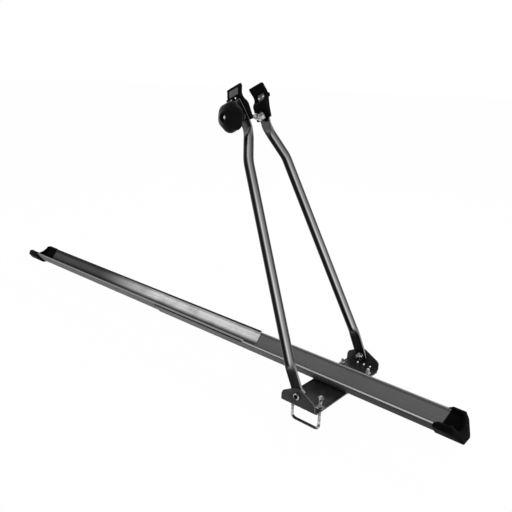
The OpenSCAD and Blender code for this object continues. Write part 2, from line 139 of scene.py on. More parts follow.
class Graph:
    """A node graph around one shader."""

    def __init__(self, owner: Any, shader: str) -> None:
        """Wraps the nodes of a material or a world.

        Args:
            owner: The material or the world.
        """
        owner.use_nodes = True
        self.owner = owner
        self.tree = owner.node_tree
        self.shader = self.tree.nodes[shader]

    @classmethod
    def of_material(cls, name: str) -> "Graph":
        """A new material with its Principled shader.

        Args:
            name: Name of the material.

        Returns:
            Its graph.
        """
        return cls(bpy.data.materials.new(name), "Principled BSDF")

    def add(
        self,
        kind: str,
        settings: dict[str, Any] | None = None,
        sockets: dict[str | int, Any] | None = None,
        output: str | int = 0,
    ) -> Value:
        """Adds a node.

        Args:
            kind: Blender's type of the node.
            settings: Its settings, set before its sockets.
            sockets: Numbers, colours or values for its input sockets.
            output: The output socket that is returned.

        Returns:
            The chosen output.
        """
        node = self.tree.nodes.new(kind)
        for key, setting in (settings or {}).items():
            setattr(node, key, setting)
        for key, value in (sockets or {}).items():
            self._feed(node.inputs[key], value)
        return Value(self, node.outputs[output])

    def _feed(self, socket: bpy.types.NodeSocket, value: Any) -> None:
        """Links a value to a socket, or sets a number or colour on it."""
        if isinstance(value, Value):
            self.tree.links.new(value.socket, socket)
        else:
            socket.default_value = value

    def place(self, scale: Colour = (1.0, 1.0, 1.0)) -> Value:
        """Object coordinates, stretched.

        Args:
            scale: Scale along each axis.

        Returns:
            The coordinates as a vector.
        """
        coords = self.add("ShaderNodeTexCoord", output="Object")
        return self.add("ShaderNodeMapping", {}, {"Vector": coords, "Scale": scale})

    def axis(self, name: str) -> Value:
        """One object coordinate in metres, named X, Y or Z."""
        coords = self.add("ShaderNodeTexCoord", output="Object")
        return self.add("ShaderNodeSeparateXYZ", {}, {0: coords}, output=name)

    def facing(self, name: str) -> Value:
        """How far a face looks along X, Y or Z, from -1 to 1."""
        coords = self.add("ShaderNodeTexCoord", output="Normal")
        return self.add("ShaderNodeSeparateXYZ", {}, {0: coords}, output=name)

    def noise(self, scale: Colour, detail: float = 3.0, rough: float = 0.5) -> Value:
        """Noise over the object.

        Args:
            scale: Waves per metre along each axis.
            detail: Octaves of the noise.
            rough: How strong the finer octaves are.

        Returns:
            A value around 0.5.
        """
        sockets = {
            "Vector": self.place(scale),
            "Scale": 1.0,
            "Detail": detail,
            "Roughness": rough,
        }
        return self.add("ShaderNodeTexNoise", {}, sockets, output=0)

    def blend(self, factor: Any, first: Any, second: Any) -> Value:
        """Mixes two colours.

        Args:
            factor: 0 for the first colour and 1 for the second.
            first: A colour or a colour value.
            second: A colour or a colour value.

        Returns:
            The mixed colour.
        """
        return self.add(
            "ShaderNodeMix",
            {"data_type": "RGBA", "clamp_factor": True},
            {0: factor, 6: self.opaque(first), 7: self.opaque(second)},
            output=2,
        )

    @staticmethod
    def opaque(colour: Any) -> Any:
        """A plain colour with its alpha, or a value as it is."""
        return (*colour, 1.0) if isinstance(colour, tuple) else colour

    def bump(self, height: Value, strength: float, distance: float) -> Value:
        """A normal from a height.

        Args:
            height: The height value.
            strength: Strength of the bump.
            distance: Depth of the relief in metres.

        Returns:
            The normal.
        """
        sockets = {"Height": height, "Strength": strength, "Distance": distance}
        return self.add("ShaderNodeBump", {}, sockets, output="Normal")

    def finish(self, **sockets: Any) -> Any:
        """Feeds the shader.

        Args:
            **sockets: Shader sockets, with underscores for the spaces in their names.

        Returns:
            The material or world that owns the graph.
        """
        for name, value in sockets.items():
            self._feed(self.shader.inputs[name.replace("_", " ")], value)
        return self.owner


def grey(tone: float) -> Colour:
    """A neutral colour of one linear tone."""
    return (tone, tone, tone * 1.01)


def share(value: float) -> float:
    """A number held between 0 and 1."""
    return min(max(value, 0.0), 1.0)


def smooth(part: float) -> float:
    """A share from 0 to 1 that starts and ends gently."""
    return part * part * (3 - 2 * part)


def shrink(vert: bmesh.types.BMVert, factor: float) -> None:
    """Moves a vertex towards the Z axis by a factor."""
    vert.co.x *= factor
    vert.co.y *= factor


@dataclass(frozen=True)
class RailMetal:
    """Drawn aluminium of a tray rail with lines along X, with a painted dark reflection inside
    and painted highlights on its rims.

    The wall's two tones are a painted reflection at the long and the short end of the tray,
    and the painted highlights of the rims are for the near and the far side. The lips above
    lip_z are less metallic, and the rims are in painted shadow where X is below covered_x.
    """

    name: str
    trough: float
    wall: tuple[float, float]
    rims: tuple[float, float]
    rim_z: float
    rim_height: float
    floor_z: float
    lip_z: float
    floor_shade: float = 0.0
    covered_x: float = -2.0
    polish_and_sheen: float = 0.0
    wall_reflection_x: tuple[float, float] = (-0.45, 0.25)
    polish_and_sheen_x: tuple[float, float] = (-0.84, -0.55)
    polish_and_sheen_tones: tuple[float, float] = (0.72, 0.34)
    shade: float = 0.008
    covered_shadow_tone: float = 0.02
    cut_tone: float = 0.6
    roughness: float = 0.36

    def _inside(self, g: Graph, height: Value, clouds: Value) -> Value:
        """Tone of the trough, with polish and painted reflections towards its inner end and
        painted shade at its floor.
        """
        # Painted reflection, dressed as polish with clouds: the trough is lighter towards its
        # inner end.
        polish_and_sheen_mask = g.axis("X").between(*self.polish_and_sheen_x) * self.polish_and_sheen
        clean, clouded = self.polish_and_sheen_tones
        tone = g.blend(polish_and_sheen_mask, grey(self.trough), grey(clean))
        tone = g.blend(clouds.between(0.42, 0.72) * polish_and_sheen_mask * 0.7, tone, grey(clouded))
        # Painted shade: the trough darkens towards its floor.
        deep = 1.0 - height.between(self.floor_z + 0.001, self.floor_z + 0.009)
        return g.blend(deep * self.floor_shade, tone, grey(self.shade))

    def material(self) -> bpy.types.Material:
        """Builds the rail material."""
        g = Graph.of_material(self.name)
        lines = g.noise((1.5, 700.0, 700.0), 2.0)
        clouds = g.noise((17.0, 26.0, 26.0), 2.0, 0.45)
        height = g.axis("Z")
        across = g.axis("Y")
        outside = (across * g.facing("Y")).between(0.0, 0.004)
        # Painted dark reflection: the inside of the trough gets its own dark tone.
        tone = self._inside(g, height, clouds)
        tone = g.blend(lines.between(0.35, 0.75) * 0.2, tone, grey(self.trough * 0.5))
        # Painted reflection: the outer walls change tone from the long to the short end of the
        # tray.
        ends = g.axis("X").between(*self.wall_reflection_x)
        wall = g.blend(ends, grey(self.wall[0]), grey(self.wall[1]))
        tone = g.blend(outside, tone, wall)
        low = self.rim_z - self.rim_height
        # Painted shadow: a dark line on the outer wall just under the rim.
        under_rim_shadow = height.between(low - 0.0022, low - 0.0012) * outside
        tone = g.blend(under_rim_shadow, tone, grey(self.shade))
        # Painted highlights on the rims, lighter on one side than on the other.
        far = across.between(-0.001, 0.001)
        rim = g.blend(far, grey(self.rims[0]), grey(self.rims[1]))
        # Painted shadow on the rim where the inner rail's rim hangs over it, below covered_x.
        clear = g.axis("X").between(self.covered_x - 0.001, self.covered_x + 0.001)
        edge = height.between(low, low + 0.0006)
        tone = g.blend(edge, tone, g.blend(clear, grey(self.covered_shadow_tone), rim))
        cut = g.facing("X").between(0.6, 0.8)
        tone = g.blend(cut, tone, grey(self.cut_tone))
        lip = height.between(self.lip_z, self.lip_z + 0.001)
        plain = outside * (1.0 - lip) + lip
        return g.finish(
            Base_Color=tone,
            Metallic=0.45 - 0.35 * plain,
            Roughness=0.12 * clouds + self.roughness - 0.06,
            Normal=g.bump(lines, 0.12, 0.0002),
            Specular_IOR_Level=0.0,
        )


@dataclass(frozen=True)
class TubeMetal:
    """Drawn steel tube with painted reflections that run in bands along it."""

    name: str
    dark: float = 0.005
    light: float = 0.75
    head_shade: float = 0.35

    def material(self) -> bpy.types.Material:
        """Builds the tube material, with painted shade towards the heads of the arms."""
        g = Graph.of_material(self.name)
        reflection_band = g.add(
            "ShaderNodeAttribute",
            {"attribute_name": ClampArm.BAND, "attribute_type": "GEOMETRY"},
            output="Fac",
        )
        cloud = g.noise((30.0, 30.0, 9.0), 3.0, 0.55)
        grain = g.noise((900.0, 900.0, 60.0), 2.0)
        # Painted shade: the tube darkens towards the heads of the arms.
        shade = 1.0 - g.axis("Z").between(0.20, 0.50) * self.head_shade
        lit = reflection_band * (0.6 * cloud + 0.7) * shade
        tone = g.blend(lit, grey(self.dark), grey(self.light))
        return g.finish(
            Base_Color=tone,
            Metallic=1.0,
            Roughness=0.16 * cloud + 0.2,
            Normal=g.bump(grain, 0.1, 0.0001),
        )


@dataclass(frozen=True)
class BlackPaint:
    """Satin black paint on sheet steel, paler in places, with a painted highlight on the edges
    that look along +X.
    """

    name: str
    tone: float = 0.017
    edge_highlight_tone: float = 0.16
    roughness: float = 0.42

    def material(self) -> bpy.types.Material:
        """Builds the paint material."""
        g = Graph.of_material(self.name)
        orange_peel = g.noise((900.0, 900.0, 900.0), 2.0)
        dust = g.noise((45.0, 45.0, 45.0), 4.0, 0.6)
        tone = g.blend(dust.between(0.45, 0.8), grey(self.tone), grey(self.tone * 2.1))
        # Painted highlight on the edges that look along +X.
        edge_highlight = g.facing("X").between(0.3, 0.7) * (0.4 + 0.6 * dust)
        tone = g.blend(edge_highlight, tone, grey(self.edge_highlight_tone))
        return g.finish(
            Base_Color=tone,
            Roughness=0.2 * dust + self.roughness - 0.1,
            Normal=g.bump(orange_peel, 0.18, 0.0002),
            Specular_IOR_Level=0.22,
        )


@dataclass(frozen=True)
class BlackPlastic:
    """Moulded black plastic with a fine spark-eroded grain."""

    name: str
    tone: float = 0.0022
    roughness: float = 0.5
    specular: float = 0.012
    grain: float = 0.25

    def material(self) -> bpy.types.Material:
        """Builds the plastic material."""
        g = Graph.of_material(self.name)
        grain = g.noise((1500.0, 1500.0, 1500.0), 2.0)
        flow = g.noise((60.0, 60.0, 60.0), 3.0)
        tone = g.blend(flow.between(0.4, 0.8), grey(self.tone), grey(self.tone * 1.7))
        return g.finish(
            Base_Color=tone,
            Roughness=0.16 * flow + self.roughness - 0.08,
            Normal=g.bump(grain, self.grain, 0.00012),
            Specular_IOR_Level=self.specular,
        )


@dataclass(frozen=True)
class Zinc:
    """Bright zinc plating with faint clouds and tool marks, with painted shade below a height.
    """

    name: str
    dark: float = 0.04
    light: float = 0.55
    roughness: float = 0.22
    shade_below: float = -1.0
    shade_tone: float = 0.008

    def material(self) -> bpy.types.Material:
        """Builds the plating material."""
        g = Graph.of_material(self.name)
        cloud = g.noise((130.0, 130.0, 130.0), 4.0, 0.65)
        marks = g.noise((2200.0, 2200.0, 2200.0), 2.0)
        tone = g.blend(cloud.between(0.36, 0.62), grey(self.dark), grey(self.light))
        # Painted shade: the zinc turns dark below the given height.
        unshaded = g.axis("Z").between(self.shade_below - 0.001, self.shade_below + 0.001)
        tone = g.blend(unshaded * 0.93 + 0.07, grey(self.shade_tone), tone)
        return g.finish(
            Base_Color=tone,
            Metallic=1.0,
            Roughness=0.2 * cloud + self.roughness - 0.1,
            Normal=g.bump(marks, 0.12, 0.0001),
        )


class Shop:
    """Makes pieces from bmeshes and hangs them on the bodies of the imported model."""

    def __init__(self) -> None:
        """Starts with no materials made."""
        self.materials: dict[Any, bpy.types.Material] = {}

    def material(self, finish: Any) -> bpy.types.Material:
        """The material of a finish, made once.

        Args:
            finish: A finish.

        Returns:
            Its material.
        """
        if finish not in self.materials:
            self.materials[finish] = finish.material()
        return self.materials[finish]

    def piece(
        self,
        name: str,
        bm: bmesh.types.BMesh,
        finish: Any,
        body: str,
        nodes: Sequence[str] = (),
        crease: float = 35.0,
    ) -> bpy.types.Object:
        """Turns a bmesh into a piece that rides on a body.

        Args:
            name: Name of the piece.
            bm: Its shape in the row frame, freed here.
            finish: Its finish.
            body: The body that it rides on.
            nodes: CAD nodes that it stands for.
            crease: Angle in degrees past which an edge stays sharp.

        Returns:
            The piece.
        """
        mesh = bpy.data.meshes.new(name)
        bm.to_mesh(mesh)
        bm.free()
        mesh.shade_smooth()
        mesh.set_sharp_from_angle(angle=math.radians(crease))
        mesh.materials.append(self.material(finish))
        made = bpy.data.objects.new(name, mesh)
        bpy.context.scene.collection.objects.link(made)
        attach(made, body)
        if nodes:
            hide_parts(*nodes)
        log.info("%s: %d faces on %s", name, len(mesh.polygons), body)
        return made

    def dress(self, names: Iterable[str], finish: Any) -> None:
        """Gives CAD nodes a finish.

        Args:
            names: The nodes.
            finish: Their finish.
        """
        for name in names:
            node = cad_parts[name]
            node.data.materials.clear()
            node.data.materials.append(self.material(finish))
            log.info("%s keeps its CAD shape", name)

    def eased(
        self,
        node: str,
        finish: Any,
        body: str,
        radius: float = 0.0004,
        reshape: Callable[[bmesh.types.BMesh], None] | None = None,
    ) -> bpy.types.Object:
        """A copy of a CAD node with its sharp edges rounded, which stands for it.

        Args:
            node: The node.
            finish: Its finish.
            body: The body that it rides on.
            radius: Radius of the rounded edges.
            reshape: Changes the copy before its edges are rounded.

        Returns:
            The piece.
        """
        bm = bmesh.new()
        bm.from_mesh(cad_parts[node].data)
        bmesh.ops.remove_doubles(bm, verts=bm.verts, dist=2e-6)
        if reshape:
            reshape(bm)
        bmesh.ops.join_triangles(
            bm,
            faces=bm.faces,
            angle_face_threshold=math.radians(0.5),
            angle_shape_threshold=math.pi,
        )
        limit = math.radians(38.0)
        sharp = [e for e in bm.edges if e.is_manifold and e.calc_face_angle() > limit]
        bmesh.ops.bevel(
            bm,
            geom=sharp,
            offset=radius,
            offset_type="OFFSET",
            affect="EDGES",
            segments=2,
            profile=0.5,
            material=-1,
            clamp_overlap=True,
            loop_slide=True,
        )
        return self.piece(f"{node}_eased", bm, finish, body, [node])


def lathe(
    profile: Sequence[tuple[float, float]], steps: int = 64, closed: bool = False
) -> bmesh.types.BMesh:
    """A turned shape about Z.

    Args:
        profile: Points as (radius, height).
        steps: Faces around.
        closed: Whether the profile is a ring, as in a washer.

    Returns:
        The shape.
    """
    bm = bmesh.new()
    verts = [bm.verts.new((r, 0.0, z)) for r, z in profile]
    pairs = list(zip(verts, verts[1:]))
    if closed:
        pairs.append((verts[-1], verts[0]))
    edges = [bm.edges.new(pair) for pair in pairs]
    bmesh.ops.spin(
        bm,
        geom=[*verts, *edges],
        cent=(0.0, 0.0, 0.0),
        axis=(0.0, 0.0, 1.0),
        angle=math.tau,
        steps=steps,
        use_merge=True,
    )
    bmesh.ops.remove_doubles(bm, verts=bm.verts, dist=1e-7)
    bmesh.ops.recalc_face_normals(bm, faces=bm.faces)
    return bm


def placed(bm: bmesh.types.BMesh, matrix: Matrix) -> bmesh.types.BMesh:
    """The same bmesh, moved.

    Args:
        bm: A shape.
        matrix: Where it goes.

    Returns:
        The shape.
    """
    bmesh.ops.transform(bm, matrix=matrix, verts=bm.verts)
    return bm


def joined(parts: Sequence[bmesh.types.BMesh]) -> bmesh.types.BMesh:
    """Several shapes as one.

    Args:
        parts: Shapes, freed here apart from the first.

    Returns:
        The first shape with the others added.
    """
    first = parts[0]
    for other in parts[1:]:
        mesh = bpy.data.meshes.new("spare")
        other.to_mesh(mesh)
        other.free()
        first.from_mesh(mesh)
        bpy.data.meshes.remove(mesh)
    return first


def hex_reach(angle: float, across: float) -> float:
    """Distance from the middle of a hexagon to its side.

    Args:
        angle: Direction in radians.
        across: Width across the flats.

    Returns:
        The distance.
    """
    turn = (angle + math.pi / 6) % (math.pi / 3) - math.pi / 6
    return across / 2 / math.cos(turn)


def hex_nut(across: float, height: float, bore: float) -> bmesh.types.BMesh:
    """A hexagon nut with chamfered corners, standing on z = 0.

    Args:
        across: Width across the flats.
        height: Height.
        bore: Diameter of its bore.

    Returns:
        The nut.
    """
    corner = across / math.sqrt(3.0)
    flat = across / 2 * 0.95
    drop = (corner - flat) * math.tan(math.radians(30.0))
    inner = bore / 2
    ring = [
        (inner, 0.0003),
        (inner + 0.0003, 0.0),
        (flat, 0.0),
        (corner, drop),
        (corner, height - drop),
        (flat, height),
        (inner + 0.0003, height),
        (inner, height - 0.0003),
    ]
    bm = lathe(ring, steps=72, closed=True)
    for vert in bm.verts:
        radius = math.hypot(vert.co.x, vert.co.y)
        reach = hex_reach(math.atan2(vert.co.y, vert.co.x), across)
        if radius > reach:
            shrink(vert, reach / radius)
    return bm


@dataclass
class Thread:
    """An outside screw thread about Z."""

    diameter: float
    pitch: float
    length: float
    steps: int = 20

    def shape(self) -> bmesh.types.BMesh:
        """Builds a chamfered core with the ridge of the thread wound on it.

        Returns:
            The threaded bar, from z = 0 to its length.
        """
        root = self.diameter / 2 - 0.55 * self.pitch
        tip = self.pitch * 0.7
        core = lathe(
            [
                (0.0, 0.0),
                (root - 0.0004, 0.0),
                (root, 0.0004),
                (root, self.length - 0.0004),
                (root - 0.0004, self.length),
                (0.0, self.length),
            ],
            steps=32,
        )
        turns = int((self.length - 2 * tip) / self.pitch)
        start = (self.length - (turns + 1) * self.pitch) / 2
        crest = self.diameter / 2
        bm = bmesh.new()
        outline = [
            (root, 0.0),
            (crest, self.pitch * 0.43),
            (crest, self.pitch * 0.57),
            (root, self.pitch),
        ]
        verts = [bm.verts.new((r, 0.0, start + z)) for r, z in outline]
        edges = [bm.edges.new(pair) for pair in zip(verts, verts[1:])]
        step = (0.0, 0.0, self.pitch / self.steps)
        bmesh.ops.spin(
            bm,
            geom=[*verts, *edges],
            cent=(0.0, 0.0, 0.0),
            axis=(0.0, 0.0, 1.0),
            dvec=step,
            angle=math.tau * turns,
            steps=self.steps * turns,
            use_merge=False,
        )
        self._run_out(bm, root, start, turns)
        bmesh.ops.remove_doubles(bm, verts=bm.verts, dist=1e-6)
        bmesh.ops.recalc_face_normals(bm, faces=bm.faces)
        return joined([core, bm])

    def _run_out(
        self, bm: bmesh.types.BMesh, root: float, start: float, turns: int
    ) -> None:
        """Lets the ridge sink into the core over half a turn at both ends."""
        end = start + (turns + 1) * self.pitch
        for vert in bm.verts:
            radius = math.hypot(vert.co.x, vert.co.y)
            if radius < root + 1e-6:
                continue
            left = min(vert.co.z - start, end - vert.co.z) / self.pitch
            wanted = root + (radius - root) * share((left - 0.42) / 0.5)
            shrink(vert, wanted / radius)


@dataclass
class ArmPlane:
    """The leaning plane that both arms lie in."""

    pivot: Vector
    lean: float = math.radians(25.25)

    def matrix(self) -> Matrix:
        """From x across, y and z away from the pivot to the row frame."""
        return Matrix.Translation(self.pivot) @ Matrix.Rotation(-self.lean, 4, "Y")

    def along_y(self, distance: float, y: float, outwards: Side) -> Matrix:
        """A frame on the plane whose z axis points to one side.

        Args:
            distance: Distance from the pivot.
            y: Place across the carrier.
            outwards: The side that the z axis points to.

        Returns:
            The frame.
        """
        turn = Matrix.Rotation(-outwards.value * math.pi / 2, 4, "X")
        return self.matrix() @ Matrix.Translation((0.0, y, distance)) @ turn


@dataclass
class ClampArm:
    """One bent tube arm with a flattened foot and a flattened tip."""

    BAND = "reflection_band"

    side: Side
    plane: ArmPlane
    tube: float = 0.020
    foot_y: float = 0.11065
    foot_width: float = 0.025
    foot_thickness: float = 0.006
    foot_flat: float = 0.043
    foot_round: float = 0.067
    foot_bend: float = 0.054
    knee: tuple[float, float] = (0.4467, 0.0581)
    knee_half: float = 0.009
    knee_run: float = 0.016
    knee_round: float = 0.0007
    rod_at: float = 0.534
    tip: tuple[float, float] = (-0.029, 0.032)
    tip_run: float = 0.017
    tip_press: float = 0.025
    tip_width: float = 0.025
    tip_thickness: float = 0.004
    tip_path: tuple[tuple[float, float], ...] = (
        (-0.018, 0.0324),
        (-0.007, 0.0330),
        (0.013, 0.0366),
        (0.023, 0.0394),
        (0.031, 0.0422),
        (0.040, 0.0441),
        (0.046, 0.0430),
        (0.054, 0.0394),
    )
    around: int = 48
    # Painted shade on the pressed foot and painted light on the pressed tip.
    pressed_tones: tuple[float, float] = (0.004, 0.2)

    @property
    def shift(self) -> tuple[float, float]:
        """How much higher and further in the head stands than the near one."""
        return (0.003, 0.0055) if self.side is Side.FAR else (0.0, 0.0)

    @property
    def body(self) -> str:
        """The body that the arm belongs to."""
        return f"{self.side.name.lower()}_side"

    def stations(self) -> list[tuple[float, float, float, float]]:
        """Sections along the arm.

        Returns:
            Rows of distance from the pivot, half distance between the arms, half width and
            half thickness.
        """
        r = self.tube / 2
        foot_w, foot_t = self.foot_width / 2, self.foot_thickness / 2
        tip_w, tip_t = self.tip_width / 2, self.tip_thickness / 2
        up, inwards = self.shift
        head = self.rod_at + up
        s1, y1 = head + self.tip[0], self.tip[1] - inwards
        low = (self.foot_y - self.knee[1]) / (self.knee[0] - self.foot_bend)
        high = (self.knee[1] - y1) / (s1 - self.knee[0])
        rows = []
        for i in range(9):
            turn = math.radians(90.0 - i * 10.0)
            w = foot_w * math.cos(turn) or 1e-4
            rows.append((-foot_w * math.sin(turn), self.foot_y, w, foot_t))
        rows.append((0.0, self.foot_y, foot_w, foot_t))
        rows.append((self.foot_flat, self.foot_y, foot_w, foot_t))
        for i in range(1, 9):
            ease = smooth(i / 8)
            s = self.foot_flat + (self.foot_round - self.foot_flat) * (i / 8)
            y = self.foot_y - max(s - self.foot_bend, 0.0) * low
            rows.append((s, y, foot_w + (r - foot_w) * ease, foot_t + (r - foot_t) * ease))
        s0, y0 = self.knee
        rows.append((s0 - self.knee_run, y0 + self.knee_run * low, r, r))
        for i in range(9):
            part = i / 8
            side = 2 * part - 1
            x = self.knee_half * side
            y = y0 - x * (low + (high - low) * part) - (1 - side**2) * self.knee_round
            rows.append((s0 + x, y, r, r))
        start = s1 - self.tip_run
        drop = self.tip_run * high
        rows.append((start, y1 + drop, r, r))
        for i in range(1, 9):
            part = i / 8
            ease = smooth(part)
            y = y1 + drop * (1 - part - part * (1 - part) * 0.55)
            s = start + self.tip_press * part
            rows.append((s, y, r + (tip_w - r) * ease, r + (tip_t - r) * ease))
        rows.extend((head + s, y - inwards, tip_w, tip_t) for s, y in self.tip_path)
        return rows

    def _section(
        self, rows: Sequence[tuple[float, float, float, float]], i: int
    ) -> list[Vector]:
        """Points of one section in the row frame."""
        a = rows[max(i - 1, 0)]
        b = rows[min(i + 1, len(rows) - 1)]
        slope = Vector((b[0] - a[0], b[1] - a[1])).normalized()
        s, y, w, h = rows[i]
        matrix = self.plane.matrix()
        points = []
        for k in range(self.around):
            angle = (k + 0.5) * math.tau / self.around
            c, q = math.cos(angle), math.sin(angle) * h
            x = math.copysign(w - h, c) * (w > h) + min(w, h) * c
            point = (x, self.side.value * (y + q * slope.x), s - q * slope.y)
            points.append(matrix @ Vector(point))
        return points

    @staticmethod
    def reflection_band(angle: float, edge: float, flat: float, pressed: float) -> float:
        """Painted reflection of the tube around its section, as a tone.

        Args:
            angle: Direction from the tube's middle in degrees, 0 across and 90 towards +Y.
            edge: 1 at the edge of a pressed face that turns to the wheel, which gets a painted
                highlight, else 0.
            flat: 0 where the tube is round and towards 1 where it is pressed flat.
            pressed: Tone of the pressed faces, with painted shade at the foot and painted
                light at the tip.

        Returns:
            0 for dark and 1 for light.
        """

        def bump(at: float, width: float) -> float:
            """A soft painted reflection stripe around one direction."""
            off = (angle - at + 180.0) % 360.0 - 180.0
            return math.exp(-((off / width) ** 2))

        # Painted reflections: light and dark stripes around the tube.
        painted_reflection = (
            0.006
            + 0.80 * bump(-48.0, 8.0)
            + 0.38 * bump(-30.0, 20.0)
            + 0.03 * bump(25.0, 20.0)
            + 0.30 * bump(78.0, 16.0)
            + 0.50 * bump(142.0, 20.0)
            + 0.03 * bump(-112.0, 9.0)
        )
        return painted_reflection * (1.0 - flat) ** 2 + (pressed + 0.5 * edge) * flat

    def shape(self) -> bmesh.types.BMesh:
        """Draws the arm by extruding a ring from section to section.

        Returns:
            The arm.
        """
        rows = self.stations()
        bm = bmesh.new()
        tone = bm.verts.layers.float.new(self.BAND)
        first = bmesh.ops.create_circle(bm, segments=self.around, radius=self.tube)
        ring = first["verts"]
        edges = list(bm.edges)
        foot = bmesh.ops.contextual_create(bm, geom=edges)["faces"]
        self._lay(ring, self._section(rows, 0), rows[0], tone)
        for i in range(1, len(rows)):
            grown = bmesh.ops.extrude_edge_only(bm, edges=edges)["geom"]
            new = [g for g in grown if isinstance(g, bmesh.types.BMVert)]
            edges = [
                g
                for g in grown
                if isinstance(g, bmesh.types.BMEdge) and set(g.verts) <= set(new)
            ]
            ring = self._matched(ring, new)
            self._lay(ring, self._section(rows, i), rows[i], tone)
        bmesh.ops.contextual_create(bm, geom=edges)
        bmesh.ops.triangulate(bm, faces=foot)
        bmesh.ops.recalc_face_normals(bm, faces=bm.faces)
        return bm

    @staticmethod
    def _matched(
        ring: Sequence[bmesh.types.BMVert], new: Sequence[bmesh.types.BMVert]
    ) -> list[bmesh.types.BMVert]:
        """New vertices in the order of the old ones that they grew from."""
        fresh = set(new)
        return [
            next(e.other_vert(v) for e in v.link_edges if e.other_vert(v) in fresh)
            for v in ring
        ]

    def _lay(
        self,
        ring: Sequence[bmesh.types.BMVert],
        points: Sequence[Vector],
        row: tuple[float, float, float, float],
        tone: Any,
    ) -> None:
        """Moves a ring onto a section and notes the painted reflection tone of each vertex."""
        flat = 1.0 - row[3] / max(row[2], self.tube / 2)
        foot, tip = self.pressed_tones
        pressed = tip if row[0] > self.knee[0] else foot
        middle = sum(points, Vector()) / len(points)
        back = self.plane.matrix().inverted().to_3x3()
        ways = [back @ (point - middle) for point in points]
        reach = max(way.x for way in ways)
        for vert, point, way in zip(ring, points, ways):
            vert.co = point
            angle = math.degrees(math.atan2(way.y, way.x))
            # Painted highlight along the edge of a pressed face.
            edge = share((way.x / reach - 0.88) / 0.1)
            vert[tone] = self.reflection_band(angle, edge, flat, pressed)

    def build(self, shop: Shop) -> None:
        """Makes the arm, its jaw and its rivets.

        Args:
            shop: Makes the pieces.
        """
        name = self.side.name.lower()
        shop.piece(
            f"{name}_arm_tube",
            self.shape(),
            TubeMetal("drawn_tube"),
            self.body,
            [f"{name}_arm"],
            crease=50.0,
        )
        jaw = BlackPlastic("jaw_plastic", tone=0.003, roughness=0.55)
        shop.eased(f"{name}_jaw", jaw, self.body, 0.0008)
        rivets = [f"{name}_rivet_left", f"{name}_rivet_right"]
        shop.dress(rivets, Zinc("rivet_zinc", dark=0.15, light=0.80))


@dataclass
class ArmPivot:
    """Bolt, washer and nut that an arm turns on."""

    side: Side
    head: float = 0.0044
    shank: float = 0.0040
    socket: float = 0.0042
    socket_floor: float = 0.0018

    def _socket_bolt(self, shop: Shop) -> None:
        """Makes the near bolt, whose head with its wide socket looks towards -Y.

        Args:
            shop: Makes the pieces.
        """
        low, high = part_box("near_pivot_bolt")
        middle = (low + high) / 2
        seat = low.y + self.head
        end = seat - high.y
        turn = Matrix.Rotation(math.radians(90.0), 4, "X")
        place = Matrix.Translation((middle.x, seat, middle.z)) @ turn
        bolt = lathe(
            [
                (0.0, end),
                (self.shank - 0.0006, end),
                (self.shank, end + 0.0008),
                (self.shank, 0.0),
                (0.0070, 0.0),
                (0.0070, 0.0014),
                (0.0065, 0.0030),
                (0.0057, 0.0041),
                (0.0050, self.head),
                (self.socket + 0.0002, 0.0041),
                (self.socket, 0.0035),
                (self.socket, self.socket_floor),
                (0.0, self.socket_floor),
            ]
        )
        shop.piece(
            "near_pivot_bolt_turned",
            placed(bolt, place),
            Zinc("bolt_zinc"),
            "near_pivot",
            ["near_pivot_bolt"],
        )
        # Painted shade: a dark disc over the socket's floor.
        radius = self.socket - 0.00005
        low_z, high_z = self.socket_floor + 0.0001, self.socket_floor + 0.0002
        disc = lathe([(0.0, low_z), (radius, low_z), (radius, high_z), (0.0, high_z)])
        shop.piece(
            "near_pivot_socket_shade_disc",
            placed(disc, place),
            BlackPlastic("socket_shade"),
            "near_pivot",
        )

    def build(self, shop: Shop) -> None:
        """Makes the pivot's pieces.

        Args:
            shop: Makes the pieces.
        """
        name = f"{self.side.name.lower()}_pivot"
        zinc = Zinc("bolt_zinc")
        parts = ["bolt", "washer", "nut"]
        if self.side is Side.NEAR:
            self._socket_bolt(shop)
            parts.remove("bolt")
        for part in parts:
            shop.eased(f"{name}_{part}", zinc, name, 0.00035)


